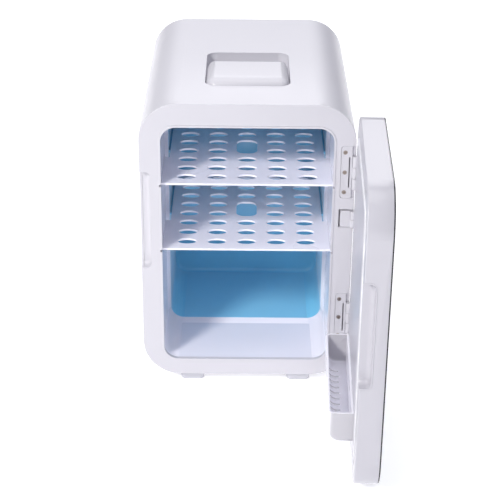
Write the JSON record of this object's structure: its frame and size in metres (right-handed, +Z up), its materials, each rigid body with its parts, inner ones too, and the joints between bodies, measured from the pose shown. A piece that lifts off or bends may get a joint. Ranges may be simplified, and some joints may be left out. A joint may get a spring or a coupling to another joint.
{
  "type": "mini fridge",
  "caption": "Small thermoelectric cool box with a side-hung insulated door, slide-out perforated shelves, a door bin and a flip-up carry handle.",
  "frame": {"origin": "on the floor under the centre of the cabinet's footprint, which the door that stands open isn't part of", "axes": "+Z up, +Y from the door side to the rear cover, +X to the right when facing the door, where the hinges are"},
  "size_m": [0.2675, 0.5428, 0.361],
  "materials": {
    "shell_white": "satin",
    "liner_white": "gloss",
    "shelf_white": "gloss",
    "tub_blue": "satin",
    "foam": "matte",
    "steel": "satin",
    "screw_dark": "satin",
    "aluminium": "satin",
    "module_ceramic": "matte",
    "black_plastic": "matte",
    "board_green": "satin",
    "gasket_white": "matte",
    "mirror_glass": "polished",
    "light_yellow": "matte",
    "foot_white": "matte"
  },
  "bodies": {
    "cabinet": {"outer_casing": "shell_white", "front_frame": "shell_white", "inner_liner": "liner_white", "cooling_tub": "tub_blue", "foam_insulation": "foam", "handle_pocket": "shell_white", "handle_pins": "steel", "cold_block": "aluminium", "peltier_module": "module_ceramic", "heat_sink": "aluminium", "heat_sink_screws": "steel", "fan_frame": "black_plastic", "fan_screws": "steel", "temperature_sensor": "black_plastic", "power_board": "board_green", "board_posts": "liner_white", "rear_cover": "shell_white", "rear_screws": "screw_dark", "ac_inlet": "black_plastic", "dc_inlet": "black_plastic", "switch_housing": "black_plastic", "foot_screws": "steel", "hinge_screws_body": "screw_dark", "cable_cover_body": "shell_white", "foot_front_left": "foot_white", "foot_front_right": "foot_white", "foot_rear_left": "foot_white", "foot_rear_right": "foot_white", "hinge_leaf_body_upper": "shell_white", "hinge_leaf_body_lower": "shell_white", "hinge_pin_upper": "steel", "hinge_pin_lower": "steel"},
    "door": {"door_shell": "shell_white", "finger_grip": "shell_white", "mirror_panel": "mirror_glass", "door_inner_panel": "liner_white", "door_gasket": "gasket_white", "door_foam": "foam", "light_strip": "light_yellow", "door_board": "board_green", "door_bin": "shelf_white", "hinge_screws_door": "screw_dark", "cable_cover_door": "shell_white", "hinge_leaf_door_upper": "shell_white", "hinge_leaf_door_lower": "shell_white"},
    "handle": {"carry_handle": "shell_white"},
    "shelf_up": {"upper_shelf": "shelf_white"},
    "shelf_low": {"lower_shelf": "shelf_white"},
    "fan": {"fan_rotor": "black_plastic"},
    "rocker": {"mode_rocker": "black_plastic"}
  },
  "joints": [
    {"name": "door_hinge", "type": "hinge", "parent": "cabinet", "child": "door", "pos_m": [0.1195, -0.151, 0.1824], "axis": [0, 0, 1], "range_deg": [-88.2, 21.8]},
    {"name": "handle_flip", "type": "hinge", "parent": "cabinet", "child": "handle", "pos_m": [0, -0.079, 0.348], "axis": [1, 0, 0], "range_deg": [0, 90]},
    {"name": "upper_shelf_slide", "type": "slide", "parent": "cabinet", "child": "shelf_up", "axis": [0, -1, 0], "range_m": [0, 0.11]},
    {"name": "lower_shelf_slide", "type": "slide", "parent": "cabinet", "child": "shelf_low", "axis": [0, -1, 0], "range_m": [0, 0.11]},
    {"name": "fan_spin", "type": "hinge", "parent": "cabinet", "child": "fan", "pos_m": [0, 0.124, 0.2], "axis": [0, 1, 0], "continuous": true},
    {"name": "rocker_tilt", "type": "hinge", "parent": "cabinet", "child": "rocker", "pos_m": [-0.052, 0.145, 0.046], "axis": [1, 0, 0], "range_deg": [-10, 10]}
  ]
}
